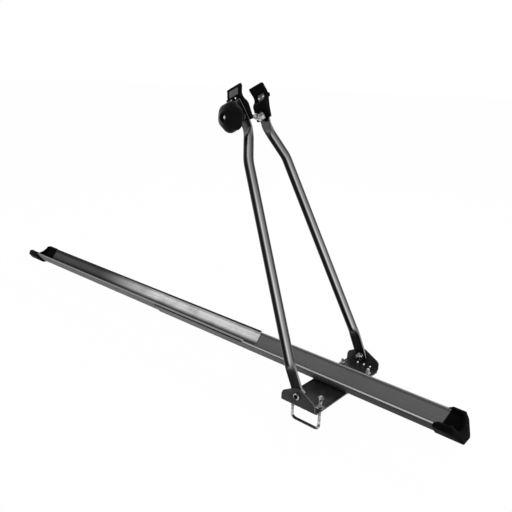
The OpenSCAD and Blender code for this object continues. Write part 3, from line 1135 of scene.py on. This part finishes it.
@dataclass
class ClampScrew:
    """Rod, cone nut, end nut and knob that draw the jaws together."""

    plane: ArmPlane
    distance: float = 0.534
    rod_outer_y: float = -0.0881
    rod_inner_y: float = 0.0400
    cone_y: float = 0.0015
    end_nut_y: float = 0.0325
    rod_diameter: float = 0.008
    rod_pitch: float = 0.00125
    knob_base_y: float = -0.0401
    knob_diameter: float = 0.060
    knob_height: float = 0.0526
    neck: float = 0.019
    hub: float = 0.0062
    lobes: int = 6
    lobe_depth: float = 0.075
    lobe_start: float = 0.013
    ribs: int = 24
    rib_depth: float = 0.035

    def knob(self) -> bmesh.types.BMesh:
        """The lobed knob, standing on z = 0 at its neck.

        Returns:
            The knob.
        """
        r = self.knob_diameter / 2
        top = self.knob_height
        floor = top - 0.0086
        outline = [
            (0.0041, 0.0),
            (self.neck / 2 - 0.0008, 0.0),
            (self.neck / 2, 0.0008),
            (self.neck / 2, 0.0135),
            (0.0103, 0.0162),
            (0.0128, 0.0190),
            (0.0165, 0.0213),
            (0.0205, 0.0229),
            (0.0243, 0.0243),
            (r - 0.0012, 0.0257),
            (r - 0.0002, 0.0276),
            (r, 0.0302),
            (r - 0.0004, 0.0330),
            (r - 0.0018, 0.0362),
            (r - 0.0043, 0.0394),
            (r - 0.0078, 0.0424),
            (r - 0.0120, 0.0452),
            (r - 0.0160, 0.0475),
            (0.0098, top - 0.0010),
            (0.0084, top - 0.0002),
            (0.0074, top - 0.0002),
            (self.hub + 0.0004, top - 0.0010),
            (self.hub, top - 0.0022),
            (self.hub, floor),
            (0.0041, floor),
        ]
        bm = lathe(outline, steps=120, closed=True)
        for vert in bm.verts:
            radius = math.hypot(vert.co.x, vert.co.y)
            weight = share((radius - self.lobe_start) / (r - self.lobe_start))
            angle = math.atan2(vert.co.y, vert.co.x)
            flute = 0.5 - 0.5 * math.cos(self.lobes * angle)
            shrink(vert, 1.0 - self.lobe_depth * weight**1.5 * flute**1.3)
        return bm

    def cone_nut(self) -> bmesh.types.BMesh:
        """The cone-shaped nut with its ribbed collar, in its own frame along z.

        Returns:
            The nut.
        """
        r = self.rod_diameter / 2 + 0.00005
        ring = [
            (r, 0.0),
            (0.0055, 0.0),
            (0.0060, 0.0005),
            (0.0060, 0.0050),
            (0.0068, 0.0075),
            (0.0094, 0.0140),
            (0.0100, 0.0160),
            (0.0100, 0.0197),
            (0.0097, 0.0200),
            (r, 0.0200),
        ]
        bm = lathe(ring, steps=96, closed=True)
        for vert in bm.verts:
            radius = math.hypot(vert.co.x, vert.co.y)
            if radius > 0.0089 and vert.co.z > 0.0150:
                angle = math.atan2(vert.co.y, vert.co.x)
                rib = 0.5 - 0.5 * math.cos(self.ribs * angle)
                shrink(vert, 1.0 - self.rib_depth * rib)
        return bm

    def build(self, shop: Shop) -> None:
        """Makes the pieces of the screw clamp.

        Args:
            shop: Makes the pieces.
        """
        zinc = Zinc("screw_zinc", dark=0.10, light=0.55)
        length = self.rod_inner_y - self.rod_outer_y
        rod = Thread(self.rod_diameter, self.rod_pitch, length).shape()
        at = self.plane.along_y(self.distance, self.rod_outer_y, Side.FAR)
        shop.piece(
            "clamp_rod_threaded",
            placed(rod, at),
            zinc,
            "far_side",
            ["clamp_rod"],
        )
        at = self.plane.along_y(self.distance, self.cone_y, Side.FAR)
        shop.piece(
            "cone_nut_ribbed",
            placed(self.cone_nut(), at),
            zinc,
            "far_side",
            ["cone_nut"],
        )
        at = self.plane.along_y(self.distance, self.end_nut_y, Side.FAR)
        shop.piece(
            "rod_end_nut_chamfered",
            placed(hex_nut(0.013, 0.0065, self.rod_diameter), at),
            zinc,
            "far_side",
            ["rod_end_nut"],
        )
        at = self.plane.along_y(self.distance, self.knob_base_y, Side.NEAR)
        shop.piece(
            "knob_lobed",
            placed(self.knob(), at),
            BlackPlastic("knob_plastic", 0.0018, 0.30, 0.05, 0.1),
            "knob_turn",
            ["knob"],
        )
        shop.eased("knob_insert", zinc, "knob_turn", 0.0002)
        shop.eased("knob_washer", zinc, "knob_seat", 0.0003)


@dataclass
class BarBolt:
    """A square U-bolt with its two nuts and washers."""

    side: Side
    y: float
    top: float
    nut_z: float
    pitch: float = 0.062
    rod: float = 0.006
    height: float = 0.074
    bend: float = 0.009
    threaded: float = 0.034
    nut_across: float = 0.010
    nut_height: float = 0.005

    @property
    def body(self) -> str:
        """The body that the U-bolt belongs to."""
        return f"{self.side.name.lower()}_bar_bolt"

    def loop(self) -> bmesh.types.BMesh:
        """The plain part of the U-bolt, swept from one leg to the other.

        Returns:
            The loop.
        """
        half = self.pitch / 2
        low = self.top - self.height + self.rod / 2
        straight = self.top - self.threaded + 0.001 - low - self.bend
        bm = bmesh.new()
        radius = self.rod / 2 - 0.0002
        start = Matrix.Translation((-half, 0.0, low + self.bend + straight))
        bmesh.ops.create_circle(
            bm, segments=24, radius=radius, cap_ends=True, matrix=start
        )
        edges = self._straight(bm, list(bm.edges), (0.0, 0.0, -straight))
        centre = (self.bend - half, 0.0, low + self.bend)
        edges = self._corner(bm, edges, centre)
        edges = self._straight(bm, edges, (self.pitch - 2 * self.bend, 0.0, 0.0))
        centre = (half - self.bend, 0.0, low + self.bend)
        edges = self._corner(bm, edges, centre)
        edges = self._straight(bm, edges, (0.0, 0.0, straight))
        bmesh.ops.contextual_create(bm, geom=edges)
        bmesh.ops.recalc_face_normals(bm, faces=bm.faces)
        return bm

    @staticmethod
    def _straight(
        bm: bmesh.types.BMesh, edges: Sequence[Any], way: tuple[float, float, float]
    ) -> list[Any]:
        """Extrudes a ring of edges along a straight line and returns the new ring."""
        grown = bmesh.ops.extrude_edge_only(bm, edges=edges)["geom"]
        verts = [g for g in grown if isinstance(g, bmesh.types.BMVert)]
        bmesh.ops.translate(bm, verts=verts, vec=way)
        fresh = set(verts)
        rings = [g for g in grown if isinstance(g, bmesh.types.BMEdge)]
        return [e for e in rings if set(e.verts) <= fresh]

    @staticmethod
    def _corner(
        bm: bmesh.types.BMesh, edges: Sequence[Any], centre: tuple[float, float, float]
    ) -> list[Any]:
        """Spins a ring of edges a quarter turn about Y and returns the new ring."""
        last = bmesh.ops.spin(
            bm,
            geom=edges,
            cent=centre,
            axis=(0.0, 1.0, 0.0),
            angle=-math.pi / 2,
            steps=10,
            use_merge=False,
        )["geom_last"]
        return [g for g in last if isinstance(g, bmesh.types.BMEdge)]

    def build(self, shop: Shop) -> None:
        """Makes the U-bolt, its nuts and its washers.

        Args:
            shop: Makes the pieces.
        """
        name = self.side.name.lower()
        zinc = Zinc("bolt_zinc")
        parts = [placed(self.loop(), Matrix.Translation((0.0, self.y, 0.0)))]
        for sign in (-1, 1):
            foot = (sign * self.pitch / 2, self.y, self.top - self.threaded)
            leg = Thread(self.rod, 0.001, self.threaded).shape()
            parts.append(placed(leg, Matrix.Translation(foot)))
        shop.piece(
            f"{name}_u_bolt_threaded",
            joined(parts),
            # Painted shade on the bend and bottom bar of the U-bolt.
            Zinc(f"{name}_u_bolt_zinc", shade_below=self.top - self.height + self.rod),
            self.body,
            [f"{name}_u_bolt"],
        )
        for sign, end in ((-1, "left"), (1, "right")):
            node = f"{name}_u_nut_{end}"
            nut = hex_nut(self.nut_across, self.nut_height, self.rod)
            spot = Matrix.Translation((sign * self.pitch / 2, self.y, self.nut_z))
            shop.piece(
                f"{node}_chamfered",
                placed(nut, spot),
                zinc,
                self.body,
                [node],
            )
            washer = f"{name}_u_washer_{end}"
            dull = Zinc("washer_zinc", dark=0.015, light=0.30)
            shop.eased(washer, dull, "base", 0.0003)


@dataclass
class BaseBracket:
    """The folded bracket with the saddle that carries the tray."""

    edge: float = 0.0005

    def build(self, shop: Shop) -> None:
        """Makes the bracket, the saddle and the rail bolts.

        Args:
            shop: Makes the pieces.
        """
        paint = BlackPaint("bracket_paint")
        shop.eased("base_bracket", paint, "base", self.edge)
        shop.eased("rail_saddle", paint, "base", self.edge)
        zinc = Zinc("bolt_zinc")
        for end in ("left", "right"):
            shop.dress([f"rail_bolt_{end}"], zinc)
            shop.eased(f"rail_nut_{end}", zinc, "base", 0.0004)


@dataclass
class WheelTray:
    """The two telescoping rails with their caps and the inserts for the second bar."""

    outer_rim: float = 0.031
    inner_rim: float = 0.0339
    outer_floor: float = 0.0056
    inner_floor: float = 0.0076
    scoop: float = 0.008
    scoop_z: tuple[float, float] = (0.008, 0.031)
    flare_z: tuple[float, float] = (0.004, 0.0245)
    flare_half: tuple[float, float] = (0.0137, 0.0314)

    def _scoop(self, bm: bmesh.types.BMesh) -> None:
        """Moves the lining of the right cap back from its mouth, furthest at the rims.

        Args:
            bm: The cap, changed here.
        """
        mouth = min(vert.co.x for vert in bm.verts)
        floor, rim = self.scoop_z
        low, high = self.flare_z
        narrow, wide = self.flare_half
        for vert in bm.verts:
            rise = share((vert.co.z - floor) / (rim - floor))
            half = narrow + (wide - narrow) * share((vert.co.z - low) / (high - low))
            lining = abs(vert.co.y) < half or vert.co.z > self.outer_rim + 0.0003
            if lining and vert.co.x < mouth + 0.0005:
                vert.co.x += self.scoop * rise**1.5

    def build(self, shop: Shop) -> None:
        """Makes the rails, the caps and the inserts.

        Args:
            shop: Makes the pieces.
        """
        outer = RailMetal(
            name="outer_rail_metal",
            trough=0.12,
            wall=(0.21, 0.05),
            rims=(0.42, 0.30),
            rim_z=self.outer_rim,
            rim_height=0.0024,
            floor_z=self.outer_floor,
            lip_z=0.0235,
            covered_x=-0.218,
        )
        inner = RailMetal(
            name="inner_rail_metal",
            trough=0.07,
            wall=(0.19, 0.19),
            rims=(0.25, 0.03),
            rim_z=self.inner_rim,
            rim_height=0.0026,
            floor_z=self.inner_floor,
            lip_z=0.0250,
            floor_shade=0.92,
            polish_and_sheen=1.0,
        )
        shop.dress(["outer_rail"], outer)
        shop.dress(["inner_rail"], inner)
        plastic = BlackPlastic("cap_plastic")
        shop.eased("end_cap_right", plastic, "base", 0.001, self._scoop)
        shop.eased("end_cap_left", plastic, "inner_tray", 0.001)
        shop.dress(["insert_left", "insert_right"], Zinc("insert_zinc", 0.1, 0.4))


@dataclass
class Studio:
    """Pale floor, soft lamps and the camera."""

    camera_at: Vector
    yaw: float = -0.7044
    pitch: float = -0.29967
    roll: float = 0.04
    lens: float = 39.54
    sensor: float = 36.0
    floor_z: float = -0.0572
    floor_size: float = 60.0
    ambient: float = 0.5

    def _camera(self) -> None:
        """Makes the camera at the photograph's place."""
        cy, sy = math.cos(self.yaw), math.sin(self.yaw)
        cp, sp = math.cos(self.pitch), math.sin(self.pitch)
        ahead = Vector((sy * cp, cy * cp, sp))
        right = Vector((cy, -sy, 0.0))
        up = right.cross(ahead)
        cr, sr = math.cos(self.roll), math.sin(self.roll)
        level = Matrix((cr * right + sr * up, cr * up - sr * right, -ahead))
        data = bpy.data.cameras.new("camera")
        data.sensor_width = self.sensor
        data.lens = self.lens
        data.clip_start = 0.05
        data.clip_end = 200.0
        camera = bpy.data.objects.new("camera", data)
        placing = Matrix.Translation(self.camera_at)
        camera.matrix_world = placing @ level.transposed().to_4x4()
        bpy.context.scene.collection.objects.link(camera)
        bpy.context.scene.camera = camera

    def _floor(self) -> None:
        """Makes the pale floor, which shows white and keeps a faint shadow."""
        bm = bmesh.new()
        at = Matrix.Translation((0.0, 0.0, self.floor_z))
        bmesh.ops.create_grid(
            bm, x_segments=1, y_segments=1, size=self.floor_size, matrix=at
        )
        mesh = bpy.data.meshes.new("floor")
        bm.to_mesh(mesh)
        bm.free()
        floor = bpy.data.objects.new("floor", mesh)
        bpy.context.scene.collection.objects.link(floor)
        g = Graph.of_material("floor_pale")
        g.finish(
            Base_Color=(0.8, 0.8, 0.8, 1.0), Roughness=0.9, Specular_IOR_Level=0.0
        )
        glow = g.add(
            "ShaderNodeEmission", {}, {"Color": (1.0, 1.0, 1.0, 1.0), "Strength": 1.0}
        )
        seen = self._seen(g) * 0.985
        mixed = g.add("ShaderNodeMixShader", {}, {0: seen, 2: glow})
        g.tree.links.new(g.shader.outputs[0], mixed.socket.node.inputs[1])
        g.tree.links.new(mixed.socket, g.tree.nodes["Material Output"].inputs[0])
        mesh.materials.append(g.owner)

    @staticmethod
    def _seen(g: Graph) -> Value:
        """1 for rays that show the background: camera, glossy and transmitted ones."""
        camera = g.add("ShaderNodeLightPath", output="Is Camera Ray")
        glossy = g.add("ShaderNodeLightPath", output="Is Glossy Ray")
        through = g.add("ShaderNodeLightPath", output="Is Transmission Ray")
        either = g.add(
            "ShaderNodeMath", {"operation": "MAXIMUM"}, {0: camera, 1: glossy}
        )
        return g.add("ShaderNodeMath", {"operation": "MAXIMUM"}, {0: either, 1: through})

    def _world(self) -> None:
        """White where it is seen, and a plain soft level where it lights the object."""
        world = bpy.data.worlds.new("studio")
        bpy.context.scene.world = world
        g = Graph(world, "Background")
        strength = self._seen(g) * (1.0 - self.ambient) + self.ambient
        g.finish(Color=(1.0, 1.0, 1.0, 1.0), Strength=strength)

    @staticmethod
    def _lamp(
        name: str, at: Vector, aim: Vector, size: tuple[float, float], watts: float
    ) -> None:
        """Makes a rectangular lamp that looks at a point."""
        data = bpy.data.lights.new(name, "AREA")
        data.shape = "RECTANGLE"
        data.size, data.size_y = size
        data.energy = watts
        lamp = bpy.data.objects.new(name, data)
        turn = (aim - at).to_track_quat("-Z", "Y").to_matrix().to_4x4()
        lamp.matrix_world = Matrix.Translation(at) @ turn
        lamp.visible_glossy = False
        bpy.context.scene.collection.objects.link(lamp)

    def build(self) -> None:
        """Makes the floor, the world, the lamps and the camera."""
        bpy.context.scene.view_settings.view_transform = "Standard"
        self._floor()
        self._world()
        middle = Vector((-0.3, 0.0, 0.2))
        self._lamp("key", Vector((1.9, -1.4, 2.2)), middle, (1.4, 1.4), 42.0)
        self._lamp("fill", Vector((-2.0, -1.8, 1.6)), middle, (1.8, 1.8), 18.0)
        self._lamp("back", Vector((-0.6, 2.2, 1.8)), middle, (2.4, 0.8), 20.0)
        self._camera()
        log.info("studio ready")


def main() -> None:
    logging.basicConfig(level=logging.INFO, format="%(name)s %(message)s")
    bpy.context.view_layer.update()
    shop = Shop()
    plane = ArmPlane(Vector((-0.0045, 0.0, 0.022)))
    BaseBracket().build(shop)
    WheelTray().build(shop)
    for side in Side:
        ClampArm(side, plane).build(shop)
        ArmPivot(side).build(shop)
    ClampScrew(plane).build(shop)
    BarBolt(Side.NEAR, -0.091, 0.027, 0.0195).build(shop)
    BarBolt(Side.FAR, 0.080, 0.017, 0.0041).build(shop)
    Studio(Vector((0.521037, -0.867015, 0.570366))).build()


if __name__ == "__main__":
    main()
